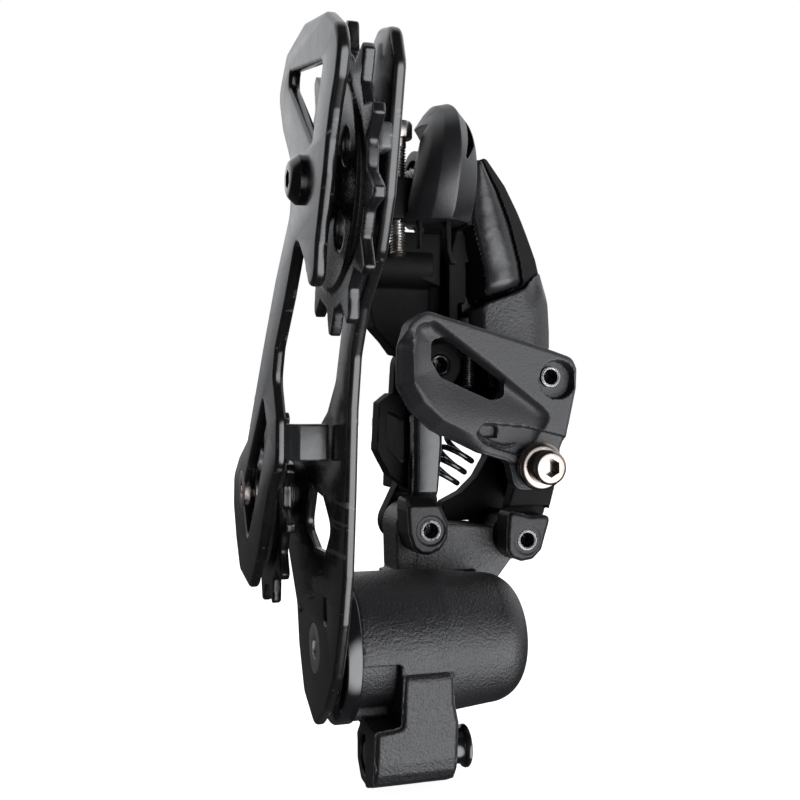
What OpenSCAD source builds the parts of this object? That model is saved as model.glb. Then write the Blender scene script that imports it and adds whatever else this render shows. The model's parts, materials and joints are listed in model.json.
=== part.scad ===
// Rear bicycle derailleur with a clutch pivot housing and a cage lock button.
// Frame: +X outboard along the hanger bolt, +Z from the pivot housing up to the hanger bolt,
// -Y towards the ground on a bicycle. The origin is the hanger face on the hanger bolt axis.

/* [Hanger mount] */
// Diameter of the hanger bolt thread
hanger_thread_d = 10; // [9:0.5:10]
// Length of thread that enters the frame hanger
hanger_thread_len = 9; // [7:0.5:11]
// Outer diameter of the boss round the hanger bolt
hanger_boss_d = 24; // [22:1:25]

/* [Linkage] */
// Diameter of the four link pins
pin_d = 5; // [4.6:0.1:5.4]
// Bore of the hollow pin ends
pin_bore_d = 3.3; // [2.5:0.1:3.6]
// Outer radius of the pivot lugs on the two knuckles
lug_r = 5.6; // [5.2:0.1:5.8]

/* [Pivot housing] */
// Outer radius of the round housing
housing_r = 15.8; // [15.4:0.1:16]
// Inner radius of the round housing
housing_bore_r = 12.8; // [12.4:0.1:13]

/* [Cage] */
// Thickness of each cage plate
plate_t = 2.3; // [2:0.1:2.4]
// Gap between the two cage plates
plate_gap = 8.8; // [8.6:0.1:9]

/* [Pulleys] */
// Teeth on each pulley
pulley_teeth = 13; // [12:1:14]
// Tip radius of the teeth
pulley_tip_r = 27.3; // [27:0.1:27.5]
// Thickness of the teeth
tooth_t = 2.1; // [1.8:0.1:2.4]

/* [Screws] */
// Thread diameter of the body angle screw
b_screw_d = 4; // [3.8:0.1:4.2]
// Thread diameter of the two limit screws
limit_screw_d = 3; // [2.8:0.1:3.2]

/* [Hidden] */
$fn = 64;
// Radial clearance of a running fit, clearance between moving bodies and a cut's overshoot
fit = 0.03;
gap = 0.4;
over = 1;
// Pivots as [X, Z]; the lower ones are one link step below the upper ones
pivot_a = [1, -45.5];
pivot_b = [25, -48.5];
link_step = [-6, -38.5];
pivot_c = pivot_a + link_step;
pivot_d = pivot_b + link_step;
// Axes along X as [Y, Z]
cage_pivot = [-38, -107.3];
guide_axis = [-8, -75.4];
tension_axis = [-78.5, -15.3];
lock_axis = [-44, -129.4];
// Positions along X
cage_x = -45;
outer_x = cage_x + plate_t + plate_gap;
cage_right = outer_x + plate_t;
pulley_x = cage_x + plate_t + plate_gap / 2;
housing_x0 = -30.6;
housing_x1 = 12;
ring_w = 3.4;
bolt_head_x = 10.4;
// Positions along Y: front of the links, of the inner upper ear, and back of the lower ears
link_y = -31;
upper_y = -20;
ear_t = 4.6;
lower_back_y = -9.4;
upper_back_y = 0.2;
inner_end_y = 5;
lower_end_y = lower_back_y + 5;
// Derived sizes of single parts
shank_d = 11;
clip_x = 0.4;
washer_t = 2.6;
b_screw_at = [-8.6, -16.5];
cover_d = 37.6;
washer_room_d = 21;
head_room_d = 15.8;
limit_x = [10.5, 17];
limit_y = -14;
limit_head_z = -36;
limit_tip_z = -51;
inboard_boss = [-7.2, -20.6];
boss_d = 11.4;
port_at = [18.2, -17];
port_d = 7;
ear_r = 5.4;
outer_front_y = -27.2;
web_front_y = outer_front_y + gap;
fan_y = -32.6;
anchor_at = [21, -69.5];
anchor_d = 5;
lug_back_y = lower_back_y - gap;
gap_d = 0.15;
ring_x = housing_x0 + ring_w;
axle_d = 9;
clutch_pilot_r = 3;
screw_d = 6;
stem_d = 6;
spool_d = 8.3;
bolt_d = 5;
bushing_d = 8;
hub_w = 7.2;
shield_t = 0.6;
stop_at = [-22.6, -101.6];
// Outline of the round housing as [radius, X]: a wall that tapers a little and a domed right end
taper_x = -8;
taper = 1.4;
dome_r = 6.4;
dome_depth = 7.4;
dome_steps = 9;
housing_profile = concat([[0, ring_x], [housing_r, ring_x], [housing_r, taper_x]],
                         [for (i = [0:dome_steps])
                          [housing_r - taper - dome_r * (1 - cos(90 * i / dome_steps)),
                           housing_x1 - dome_depth * (1 - sin(90 * i / dome_steps))]],
                         [[0, housing_x1]]);
// Outlines of the cage plates as [Y, Z]
inner_outline = [[-96, 8.5], [-80, 12], [-64, 11.5], [-55.5, 5.5], [-60, -2.5], [-67.5, -10], [-67, -19],
                 [-52, -30], [-37, -43.5], [-16.5, -63], [-4, -67.5], [4.6, -72.4], [5.4, -80], [1, -88],
                 [-5, -95], [-20, -97], [-31, -88], [-44, -73], [-53, -67], [-53, -58], [-49, -50],
                 [-52, -44],
                 [-62.5, -35], [-73, -24.5], [-80, -30], [-83.5, -35], [-87.6, -34], [-89, -28],
                 [-92, -22.4], [-94.9, -17.2], [-97, -12.3], [-99.6, -8], [-103, -4], [-105.2, 0.4],
                 [-103, 4.4]];
outer_outline = [[-88, 9.5], [-95.5, 7.5], [-98, 1], [-95.5, -8], [-92, -20], [-87, -29], [-76, -37],
                 [-70, -46],
                 [-67.5, -56], [-66, -72], [-64, -88], [-61, -98], [-55.4, -110], [-48, -118],
                 [-34, -122], [-24, -112], [-19, -101],
                 [-6, -87], [0, -75], [-8, -66], [-22, -65], [-36, -62], [-50, -56], [-57, -50], [-62, -40],
                 [-67, -30], [-68.5, -20], [-69, -8], [-76, 1], [-82, 7]];
// Colours
cast_black = [0.10, 0.10, 0.11];
plastic_grey = [0.20, 0.20, 0.21];
plate_black = [0.14, 0.14, 0.15];
steel = [0.72, 0.72, 0.74];

// A flat shape drawn in Y and Z, from X = x to x + t
module yz_slab(x, t) {
  translate([x, 0, 0]) rotate([90, 0, 90]) linear_extrude(t) children();
}
// A flat shape drawn in X and Z, from Y = y0 to y1
module xz_slab(y0, y1) {
  translate([0, y1, 0]) rotate([90, 0, 0]) linear_extrude(y1 - y0) children();
}
// A round bar along X at p = [Y, Z]
module x_bar(x0, x1, d, p = [0, 0]) {
  translate([x0, p[0], p[1]]) rotate([0, 90, 0]) cylinder(d = d, h = x1 - x0);
}
// A round bar along Y at p = [X, Z]
module y_bar(y0, y1, d, p) {
  translate([p[0], y0, p[1]]) rotate([-90, 0, 0]) cylinder(d = d, h = y1 - y0);
}
// A round bar along Z at p = [X, Y]
module z_bar(z0, z1, d, p) {
  translate([p[0], p[1], z0]) cylinder(d = d, h = z1 - z0);
}
module x_tube(x0, x1, d, bore, p = [0, 0]) {
  difference() {
    x_bar(x0, x1, d, p);
    x_bar(x0 - over, x1 + over, bore, p);
  }
}
// A six-sided socket along X
module x_hex(x0, x1, across, p = [0, 0]) {
  translate([x0, p[0], p[1]]) rotate([0, 90, 0]) cylinder(d = across / cos(30), h = x1 - x0, $fn = 6);
}
module disc_at(p, r) {
  translate(p) circle(r);
}
// Two discs and the strip between them
module strap(p, q, r0, r1) {
  hull() {
    disc_at(p, r0, $fn = 32);
    disc_at(q, r1, $fn = 32);
  }
}

// ---- hanger end ----
module hanger_bolt() {
  color(steel) difference() {
    union() {
      x_bar(-hanger_thread_len, 0, hanger_thread_d);
      x_bar(0, bolt_head_x, shank_d);
      x_bar(bolt_head_x, bolt_head_x + 3, 15);
    }
    x_hex(bolt_head_x - 3, bolt_head_x + 3 + over, 5);
    x_tube(clip_x, clip_x + 0.8, shank_d + 2, 9.6);
  }
}
// Washer with the lip that rests on the hanger's stop
module b_washer() {
  color(cast_black) difference() {
    union() {
      x_bar(0, washer_t, 20);
      yz_slab(-4, 4 + washer_t) polygon([[8.4, -3], [12, -3], [12, 4], [8.4, 4]]);
    }
    x_bar(-over, clip_x + 0.9, 15);
    x_bar(-over, washer_t + over, shank_d);
  }
}
module bolt_circlip() {
  color(steel) difference() {
    x_tube(clip_x + 0.05, clip_x + 0.75, 13.6, 9.6);
    translate([0, -2, 2]) cube([2, 4, 9]);
  }
}
// Clamp body: boss on the hanger bolt, arm down to the two upper pivots, ear for the angle screw
module b_knuckle() {
  color(cast_black) difference() {
    union() {
      x_bar(washer_t + gap, bolt_head_x + 3.4, hanger_boss_d);
      // Arm, outboard and towards the ground
      xz_slab(-22, -2) polygon([[9, 1], [13.6, 1], [18, -5], [23.4, -18], [27.2, -33], [28.3, -40],
                                [26, -44], [18, -42.5], [8, -42.5], [5, -36], [5, -20], [8, -8]]);
      xz_slab(-16, -2.6) polygon([[9, 4], [14, 4], [18.6, -1.1], [22.1, -6.9], [25.1, -12.8],
                                  [27.8, -18.7], [29.7, -24.7],
                                  [31, -30.7], [32, -37], [32, -41], [26, -43], [8, -20]]);
      // Deeper wall, inboard
      xz_slab(-8, upper_back_y - gap) polygon([[3, 2], [12, 2], [14, -30], [9, -45], [1, -45.5],
                                               [-2, -30]]);
      y_bar(upper_y + ear_t + gap, upper_back_y - gap, 2 * lug_r, pivot_a);
      y_bar(-22, lower_back_y - gap, 2 * lug_r, pivot_b);
      xz_slab(upper_y + ear_t + gap, upper_back_y - gap) polygon([[-2, -42], [3, -36], [12, -34],
                                                                  [12, -42], [4, -47]]);
      xz_slab(-22, lower_back_y - gap) polygon([[20, -40], [28.5, -40], [29.6, -46], [20, -46]]);
      // Hollow boss and wall on the inboard side, and a tongue between the links
      x_bar(-13.6, 2, boss_d, inboard_boss);
      xz_slab(-8.4, upper_back_y - 2 * gap)
        polygon([[2, -15], [2, -44], [-6.6, -42.6], [-9, -39.4], [-12.2, -36], [-13.4, -31],
                 [-13.2, -24], [-9, -19]]);
      xz_slab(-8, upper_back_y - gap) polygon([[3, -42], [20, -42], [18.4, -48], [14.4, -55.6],
                                               [8, -55.6], [5.6, -50]]);
      // Ear inboard of the hanger face, for the angle screw
      translate([-12.4, -20.5, -11]) cube([8, 8, 10]);
      translate([-6, -22, -11]) cube([15, 7, 8]);
    }
    x_bar(-14.6, -2, boss_d - 4, inboard_boss);
    x_bar(washer_t - over, bolt_head_x + over, shank_d + 2 * fit);
    x_bar(bolt_head_x - 0.05, bolt_head_x + 14, head_room_d);
    x_bar(-over, washer_t + gap, washer_room_d);
    y_bar(upper_y, upper_back_y + over, pin_d + 2 * fit, pivot_a);
    y_bar(-23, lower_back_y + over, pin_d + 2 * fit, pivot_b);
    // Room for the outer link's rear ear
    y_bar(lower_back_y - gap, over, 2 * (ear_r + gap), pivot_b);
    z_bar(-12, 0, b_screw_d + 2 * fit, b_screw_at);
    for (x = limit_x) {
      z_bar(-52.6, -20, limit_screw_d + 2 * fit, [x, limit_y]);
      // Pocket for the screw head, open at the back
      translate([x - 3.2, limit_y - 3.2, limit_head_z - 1.6]) cube([6.4, 20, 7.4]);
    }
    y_bar(-12, over, port_d, port_at);
    y_bar(-23, -11, 1.6, port_at);
  }
}
// Smooth moulded arch over the front of the boss
module knuckle_cover() {
  color(plastic_grey) difference() {
    intersection() {
      xz_slab(-30.5, -12.4) polygon([[-8.4, -11.5], [-7.6, -4], [-5.8, 4], [-4, 10.6], [-2.2, 14.6],
                                     [0.2, 17.6],
                                     [3, 18.8], [6, 18], [7.7, 14], [7.7, -11.5]]);
      x_bar(-9, 8, cover_d, [-12.4, 0]);
    }
    x_bar(-9, 9, hanger_boss_d + 0.4);
    // Room for the angle screw and its ear
    translate([-13, -22.4, -13]) cube([13.6, 20, 40]);
    translate([-6, -22.4, -12]) cube([16, 8, 9.4]);
  }
}
// Seat for the end of the cable housing
module cable_port() {
  color(plastic_grey) difference() {
    union() {
      y_bar(-11.9, 3, port_d, port_at);
      y_bar(-1.9, 1, port_d + 2.4, port_at);
    }
    y_bar(-9, 3 + over, 5, port_at);
    y_bar(-13, -8, 1.6, port_at);
  }
}
module b_screw() {
  color(steel) difference() {
    union() {
      z_bar(-19.5, 9, b_screw_d, b_screw_at);
      z_bar(8.8, 12.8, 7, b_screw_at);
    }
    translate([b_screw_at[0], b_screw_at[1], 10.6]) cylinder(d = 3 / cos(30), h = 4, $fn = 6);
  }
}
module limit_screw(x) {
  color(steel) difference() {
    union() {
      z_bar(limit_tip_z, limit_head_z + 1, limit_screw_d, [x, limit_y]);
      z_bar(limit_head_z, limit_head_z + 2.4, 5.5, [x, limit_y]);
    }
    translate([x, limit_y, limit_head_z + 1]) cylinder(d = 2 / cos(30), h = 3, $fn = 6);
  }
}
module limit_screw_high() {
  limit_screw(limit_x[0]);
}
module limit_screw_low() {
  limit_screw(limit_x[1]);
}

// ---- parallelogram ----
module hollow_pin(y0, y1, p) {
  color(cast_black) difference() {
    y_bar(y0, y1, pin_d, p);
    y_bar(y0 - over, y0 + 6, pin_bore_d, p);
    y_bar(y1 - 6, y1 + over, pin_bore_d, p);
  }
}
module pin_inner_upper() {
  hollow_pin(upper_y, inner_end_y, pivot_a);
}
module pin_inner_lower() {
  hollow_pin(link_y, lower_end_y, pivot_c);
}
module pin_outer_upper() {
  hollow_pin(link_y, lower_end_y, pivot_b);
}
module pin_outer_lower() {
  hollow_pin(link_y, lower_end_y, pivot_d);
}
// Channel-shaped inner link: two upper ears, two lower ears and a web, with a bracket on its inboard side
module inner_link() {
  upper_mid = [-2.4, -55.5];
  lower_mid = [-3.6, -75];
  wall = [[-6.3, -76.4], [-0.8, -76.4], [0.6, -53.6], [-5.2, -53.6]];
  front_wall = [[-8, -78], [-1.4, -78], [-1.2, -59], [-7.6, -59]];
  color(cast_black) difference() {
    union() {
      // Web and the two side walls
      xz_slab(web_front_y, inner_end_y) polygon([[-6.3, -76.4], [-4.2, -76.4], [-3.1, -53.6],
                                                 [-5.2, -53.6]]);
      xz_slab(web_front_y, web_front_y + ear_t) polygon(front_wall);
      xz_slab(upper_back_y, inner_end_y) polygon(wall);
      xz_slab(upper_y, upper_y + ear_t) strap(pivot_a, upper_mid, ear_r, 2.6);
      xz_slab(upper_back_y, inner_end_y) strap(pivot_a, upper_mid, ear_r, 2.6);
      xz_slab(web_front_y, web_front_y + ear_t) strap(pivot_c, lower_mid, ear_r, 2.7);
      y_bar(link_y, web_front_y + 2, 2 * ear_r + 0.2, pivot_c);
      xz_slab(lower_back_y, lower_end_y) strap(pivot_c, lower_mid, ear_r, 2.7);
      difference() {
        xz_slab(-18, -12) polygon([[-5, -54], [-10.6, -52.2], [-13.6, -54.6], [-14.2, -66], [-11, -72],
                                   [-5.4, -76]]);
        xz_slab(-19, -11) polygon([[-7.4, -58.6], [-11.6, -56.6], [-12, -65], [-7.4, -69.6]]);
      }
    }
    y_bar(upper_y - over, inner_end_y + over, pin_d, pivot_a);
    y_bar(link_y - over, lower_end_y + over, pin_d, pivot_c);
    // The upper end stands back from the lower one
    xz_slab(web_front_y - over, upper_y) polygon([[-10, -59], [5, -59], [5, -40], [-10, -40]]);
  }
}
module outer_link() {
  upper_mid = [26.4, -59];
  lower_mid = [23, -77];
  color(cast_black) difference() {
    union() {
      xz_slab(outer_front_y, lower_end_y) polygon([[22, -78.6], [26.6, -78.6], [30.2, -57.4],
                                                   [25.6, -57.4]]);
      xz_slab(outer_front_y, outer_front_y + ear_t) {
        strap(pivot_b, [24, -70], ear_r, 5);
        strap(pivot_d, [24, -70], ear_r, 5);
      }
      xz_slab(lower_back_y, lower_end_y) {
        strap(pivot_b, upper_mid, ear_r, 2.6);
        strap(pivot_d, lower_mid, ear_r, 2.6);
        polygon([[18.4, -63], [17.4, -68.6], [14.6, -73.4], [10.6, -77.2], [5.6, -79.6], [5, -84.4],
                 [22, -84.4], [27, -60]]);
      }
      y_bar(link_y, outer_front_y + ear_t, 2 * ear_r, pivot_d);
    }
    y_bar(link_y - over, lower_end_y + over, pin_d, pivot_b);
    y_bar(link_y - over, lower_end_y + over, pin_d, pivot_d);
    y_bar(-34, outer_front_y + ear_t + over, anchor_d, anchor_at);
  }
}
// Fan with the curved cable track, fixed to the outer link by its upper pin and the anchor bolt
module cable_fan() {
  color(plastic_grey) difference() {
    xz_slab(fan_y, outer_front_y - 0.02) offset(2.5) offset(-2.5)
      polygon([[-10.4, -35.4], [-6, -33.4], [25, -42.4], [29.4, -44.2], [30.6, -46.8], [30.4, -51],
               [28, -63.4], [26.2, -68],
               [24.6, -75.2], [15.8, -75.2], [14.4, -68.4], [7.4, -66.4], [-4, -61], [-9.4, -56.4],
               [-12.4, -51],
               [-12.4, -40]]);
    y_bar(fan_y - over, outer_front_y + over, pin_d, pivot_b);
    // Recess round the pin
    y_bar(fan_y - over, fan_y + 1.6, 8.4, pivot_b);
    y_bar(fan_y - over, outer_front_y + over, anchor_d, anchor_at);
    // Teardrop window
    xz_slab(fan_y - over, outer_front_y + over) hull() {
      disc_at([-2.6, -44.4], 4, $fn = 32);
      disc_at([10.5, -52.4], 2, $fn = 32);
    }
    // Cable track along the fan's lower edge, round the upper pin
    intersection() {
      difference() {
        y_bar(fan_y - over, fan_y + 1.4, 2 * 36, pivot_b);
        y_bar(fan_y - 2, fan_y + 2, 2 * 34.2, pivot_b);
      }
      xz_slab(fan_y - over, fan_y + 1.4) polygon([[-12.4, -50], [6, -50], [6, -78], [-12.4, -78]]);
    }
  }
}
module anchor_washer() {
  color(steel) difference() {
    y_bar(fan_y - 2.6, fan_y, 11.4, anchor_at);
    y_bar(fan_y - 4, fan_y + over, anchor_d, anchor_at);
  }
}
module anchor_bolt() {
  color(steel) difference() {
    union() {
      y_bar(fan_y - 3, outer_front_y + ear_t, anchor_d, anchor_at);
      y_bar(fan_y - 7.2, fan_y - 2.6, 8, anchor_at);
    }
    translate([anchor_at[0], fan_y - 8, anchor_at[1]]) rotate([-90, 0, 0])
      cylinder(d = 4 / cos(30), h = 4, $fn = 6);
  }
}
// Closed tube of radius w along a helix: axis from p to q, coil radius r
module coil(p, q, r, w, turns) {
  v = q - p;
  n = v / norm(v);
  side = cross(n, [0, 1, 0.2]);
  a = side / norm(side);
  b = cross(n, a);
  steps = ceil(turns * 14);
  sides = 6;
  function out(i) = a * cos(360 * turns * i / steps) + b * sin(360 * turns * i / steps);
  function centre(i) = p + v * i / steps + r * out(i);
  points = [for (i = [0:steps], k = [0:sides - 1])
            centre(i) + w * (out(i) * cos(360 * k / sides) + n * sin(360 * k / sides))];
  faces = concat([[for (k = [0:sides - 1]) k]], [[for (k = [sides - 1:-1:0]) steps * sides + k]],
                 [for (i = [0:steps - 1], k = [0:sides - 1])
                  [i * sides + k, (i + 1) * sides + k,
                   (i + 1) * sides + (k + 1) % sides, i * sides + (k + 1) % sides]]);
  polyhedron(points = points, faces = faces, convexity = 10);
}
module return_spring() {
  color(cast_black) coil([10.4, -14, -62.3], [2, -14, -74], 4.6, 0.65, 4.4);
}

// ---- pivot housing ----
module p_knuckle() {
  color(cast_black) difference() {
    union() {
      translate([0, cage_pivot[0], cage_pivot[1]]) rotate([0, 90, 0]) rotate_extrude($fn = 96)
        polygon(housing_profile);
      // Block behind the housing that carries the two lower lugs
      xz_slab(-33, lug_back_y - 0.5) polygon([[-13, -115], [-11.6, -95], [9, -95], [9, -115]]);
      xz_slab(web_front_y + ear_t + gap, lug_back_y) strap(pivot_c, [-4, -99], lug_r, 6);
      xz_slab(-22, lug_back_y - 0.2) polygon([[-4, -83], [19, -85], [20, -91], [8, -106], [-7, -101]]);
      y_bar(-22, lug_back_y, 2 * lug_r, pivot_d);
      // Lug and barrel of the cage lock
      yz_slab(-18.8, 11) polygon([[-52, -108], [-54, -111.4], [-52.4, -124], [-49, -129], [-39, -129],
                                  [-34, -120], [-34, -108]]);
      yz_slab(-24.4, 18.2) polygon([[-52, -122.6], [-52.2, -130], [-50, -134], [-46, -135.8],
                                    [-41, -135.4], [-38, -132],
                                    [-37.6, -126], [-40.5, -123], [-46, -121.4]]);
    }
    x_bar(ring_x - over, 4, 2 * housing_bore_r, cage_pivot);
    x_bar(3, 8, 2 * clutch_pilot_r + 2 * fit, cage_pivot);
    y_bar(link_y, lug_back_y + over, pin_d + 2 * gap_d, pivot_d);
    y_bar(link_y, lug_back_y + over, pin_d + 2 * fit, pivot_c);
    x_bar(-25, -5, stem_d + 2 * fit, lock_axis);
    x_bar(-25, -21, 8.4, lock_axis);
    x_bar(-15, -5, spool_d + 2 * fit, lock_axis);
  }
}
module housing_ring() {
  color(cast_black) x_tube(housing_x0, ring_x, 2 * housing_r + 1, 2 * housing_bore_r - 2, cage_pivot);
}
module clutch_drum() {
  color(steel) x_tube(-7, 2.4, 17, axle_d, cage_pivot);
}
// Split band that squeezes the drum
module clutch_band() {
  color(cast_black) difference() {
    x_tube(-6.6, 2, 24.6, 17 + 2 * fit, cage_pivot);
    translate([-8, cage_pivot[0] - 1, cage_pivot[1] + 4]) cube([12, 2, 12]);
  }
}
module cage_spring() {
  color(steel) coil([-24, cage_pivot[0], cage_pivot[1]], [-9.5, cage_pivot[0], cage_pivot[1]], 9.4, 1, 5);
}
module cage_axle() {
  color(steel) difference() {
    union() {
      x_bar(cage_right, 3, axle_d, cage_pivot);
      x_bar(2.4, 7.6, 2 * clutch_pilot_r, cage_pivot);
      x_bar(-28.4, -26.4, 19, cage_pivot);
    }
    x_bar(cage_right - over, -18, screw_d, cage_pivot);
  }
}
module axle_screw() {
  color(steel) difference() {
    union() {
      x_bar(outer_x + 0.2, -19, screw_d, cage_pivot);
      translate([outer_x, cage_pivot[0], cage_pivot[1]]) rotate([0, 90, 0])
        cylinder(d1 = 10.6, d2 = screw_d, h = 2.2);
    }
    x_hex(outer_x - over, outer_x + 2.4, 4, cage_pivot);
  }
}
module lock_button() {
  color(cast_black) {
    x_bar(-22, -1, stem_d, lock_axis);
    x_bar(-7.6, -1, spool_d, lock_axis);
    x_bar(-24, -21.8, 3, lock_axis);
    x_bar(-1.2, 0.6, 9.2, lock_axis);
  }
}
module button_spring() {
  color(steel) coil([-14.6, lock_axis[0], lock_axis[1]], [-8, lock_axis[0], lock_axis[1]], 3.55, 0.3, 5);
}

// ---- cage ----
module inner_plate() {
  color(plate_black) difference() {
    union() {
      yz_slab(cage_x, plate_t) offset(1.2) offset(-1.2) polygon(inner_outline);
      // Bridging tab, bent towards the outer plate
      translate([cage_x + 0.5, -53, -66.6]) cube([outer_x - cage_x - 1, 2.4, 8.2]);
    }
    yz_slab(cage_x - over, plate_t + 2 * over) {
      polygon([[-67, 7], [-66, 4.6], [-85.6, -10.6], [-94.6, 1]]);
      polygon([[-38, -53.5], [-43, -61], [-31, -73], [-16.5, -86], [-9.6, -76]]);
    }
    x_bar(cage_x - over, cage_x + plate_t + over, bolt_d, guide_axis);
    x_bar(cage_x - over, cage_x + plate_t + over, bolt_d, tension_axis);
    // Seat that lets the guide bolt's head lie flush
    x_bar(cage_x - over, cage_x + 1.5, 9.4, guide_axis);
  }
}
module outer_plate() {
  color(plate_black) difference() {
    union() {
      yz_slab(outer_x, plate_t) {
        offset(1.5) offset(-1.5) polygon(outer_outline);
        disc_at(cage_pivot, 17);
        disc_at(guide_axis, 9.5);
      }
      // Chain keeper, bent towards the inner plate
      translate([outer_x - 2, -95.6, -13]) cube([2.5, 5.4, 5]);
    }
    yz_slab(outer_x - over, plate_t + 2 * over) {
      offset(1.5) offset(-1.5) polygon([[-33, -73], [-46, -74.5], [-53, -80], [-47.5, -85.5],
                                        [-37, -86], [-28, -82]]);
      polygon([[-49.5, -95], [-47, -95], [-47, -100], [-49.5, -100]]);
    }
    translate([outer_x, cage_pivot[0], cage_pivot[1]]) rotate([0, 90, 0])
      cylinder(d1 = 10.6, d2 = screw_d, h = 2.2);
    x_bar(outer_x, cage_right + over, screw_d, cage_pivot);
    x_bar(outer_x - over, cage_right + over, bolt_d, guide_axis);
    x_bar(outer_x - over, cage_right + over, bolt_d, tension_axis);
    x_bar(outer_x - over, cage_right + over, 2.6, stop_at);
  }
}
module stop_pin() {
  color(steel) x_bar(outer_x - 1.6, cage_right - 0.2, 2.6, stop_at);
}
// Toothed wheel with a hub that runs on the bushing
module pulley(p) {
  root_r = pulley_tip_r - 4.6;
  color(cast_black) difference() {
    translate([0, p[0], p[1]]) {
      yz_slab(pulley_x - tooth_t / 2, tooth_t) {
        circle(root_r);
        for (i = [0:pulley_teeth - 1]) rotate(360 * i / pulley_teeth)
          polygon([[root_r - 1.5, -3.6], [root_r, -3], [pulley_tip_r - 1.6, -1.7], [pulley_tip_r, -0.9],
                   [pulley_tip_r, 0.9], [pulley_tip_r - 1.6, 1.7], [root_r, 3], [root_r - 1.5, 3.6]]);
      }
      x_bar(pulley_x - hub_w / 2, pulley_x + hub_w / 2, 13);
      x_bar(pulley_x - 1.8, pulley_x + 1.8, 2 * root_r - 7);
    }
    x_bar(cage_x, cage_right, bushing_d + 2 * fit, p);
    for (i = [0:4]) translate([0, p[0], p[1]]) rotate([72 * i, 0, 0])
      x_bar(cage_x, cage_right, 6.4, [0, 12]);
  }
}
module pulley_bushing(p) {
  color(steel) x_tube(cage_x + plate_t, outer_x, bushing_d, bolt_d, p);
}
// Dust shields on both sides of the hub
module pulley_shields(p) {
  color(steel) {
    x_tube(cage_x + plate_t, cage_x + plate_t + shield_t, 14.5, bushing_d, p);
    x_tube(outer_x - shield_t, outer_x, 14.5, bushing_d, p);
  }
}
module guide_pulley() {
  pulley(guide_axis);
}
module guide_bushing() {
  pulley_bushing(guide_axis);
}
module guide_shields() {
  pulley_shields(guide_axis);
}
// Flush bolt
module guide_bolt() {
  color(steel) difference() {
    union() {
      x_bar(cage_x + 0.2, cage_right - 0.2, bolt_d, guide_axis);
      x_bar(cage_x, cage_x + 1.5, 9.4, guide_axis);
    }
    x_hex(cage_x - over, cage_x + 1.8, 3, guide_axis);
  }
}
module tension_pulley() {
  pulley(tension_axis);
}
module tension_bushing() {
  pulley_bushing(tension_axis);
}
module tension_shields() {
  pulley_shields(tension_axis);
}
// Domed bolt
module tension_bolt() {
  color(cast_black) difference() {
    union() {
      x_bar(cage_x - 0.9, cage_right - 0.2, bolt_d, tension_axis);
      x_bar(cage_x - 1, cage_x, 9.6, tension_axis);
      intersection() {
        x_bar(cage_x - 2.8, cage_x - 1, 9.6, tension_axis);
        translate([cage_x + 4.6, tension_axis[0], tension_axis[1]]) sphere(7.4);
      }
    }
    x_hex(cage_x - 4, cage_x - 0.6, 3, tension_axis);
  }
}

hanger_bolt();
b_washer();
bolt_circlip();
b_knuckle();
knuckle_cover();
cable_port();
b_screw();
limit_screw_high();
limit_screw_low();
inner_link();
pin_inner_upper();
pin_inner_lower();
return_spring();
outer_link();
pin_outer_upper();
pin_outer_lower();
cable_fan();
anchor_washer();
anchor_bolt();
p_knuckle();
housing_ring();
clutch_drum();
clutch_band();
cage_spring();
cage_axle();
axle_screw();
lock_button();
button_spring();
inner_plate();
outer_plate();
stop_pin();
guide_pulley();
guide_bushing();
guide_shields();
guide_bolt();
tension_pulley();
tension_bushing();
tension_shields();
tension_bolt();
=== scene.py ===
import bmesh
import bpy
import json
import math
import numpy as np
from mathutils import Matrix, Vector


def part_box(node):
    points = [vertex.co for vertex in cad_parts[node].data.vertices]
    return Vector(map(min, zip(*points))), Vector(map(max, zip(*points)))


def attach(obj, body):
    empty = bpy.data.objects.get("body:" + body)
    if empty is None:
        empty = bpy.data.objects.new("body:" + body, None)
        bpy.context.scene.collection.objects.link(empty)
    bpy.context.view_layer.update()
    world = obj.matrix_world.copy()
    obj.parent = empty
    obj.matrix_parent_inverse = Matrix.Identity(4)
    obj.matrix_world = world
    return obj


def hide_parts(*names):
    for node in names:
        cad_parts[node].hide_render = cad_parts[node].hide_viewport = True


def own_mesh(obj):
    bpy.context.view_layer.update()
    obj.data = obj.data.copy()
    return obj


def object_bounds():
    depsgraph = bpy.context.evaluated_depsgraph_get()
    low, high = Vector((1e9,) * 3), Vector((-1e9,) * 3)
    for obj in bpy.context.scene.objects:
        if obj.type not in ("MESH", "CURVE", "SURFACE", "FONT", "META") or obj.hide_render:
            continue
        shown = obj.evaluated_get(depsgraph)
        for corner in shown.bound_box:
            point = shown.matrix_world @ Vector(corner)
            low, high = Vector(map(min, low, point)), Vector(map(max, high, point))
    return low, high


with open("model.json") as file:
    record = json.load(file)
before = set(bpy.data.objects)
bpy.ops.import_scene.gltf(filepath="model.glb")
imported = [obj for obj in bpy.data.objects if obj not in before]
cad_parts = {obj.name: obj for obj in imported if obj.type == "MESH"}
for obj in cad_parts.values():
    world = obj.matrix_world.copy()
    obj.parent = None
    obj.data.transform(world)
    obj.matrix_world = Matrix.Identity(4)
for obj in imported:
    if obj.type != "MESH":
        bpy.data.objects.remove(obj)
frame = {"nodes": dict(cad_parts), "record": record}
cad_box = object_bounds()
MM = 0.001
NODES = frame["nodes"]
X_AXIS, Y_AXIS, Z_AXIS = (1, 0, 0), (0, 1, 0), (0, 0, 1)
NEAR_Y = -40  # in front of the fan, the links and the clamp body, in millimetres


# ---- mesh tools
def centre(node):
    lo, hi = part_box(node)
    return (lo + hi) / 2 / MM


def new_object(name, mesh):
    obj = bpy.data.objects.new(name, mesh)
    bpy.context.scene.collection.objects.link(obj)
    return obj


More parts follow.
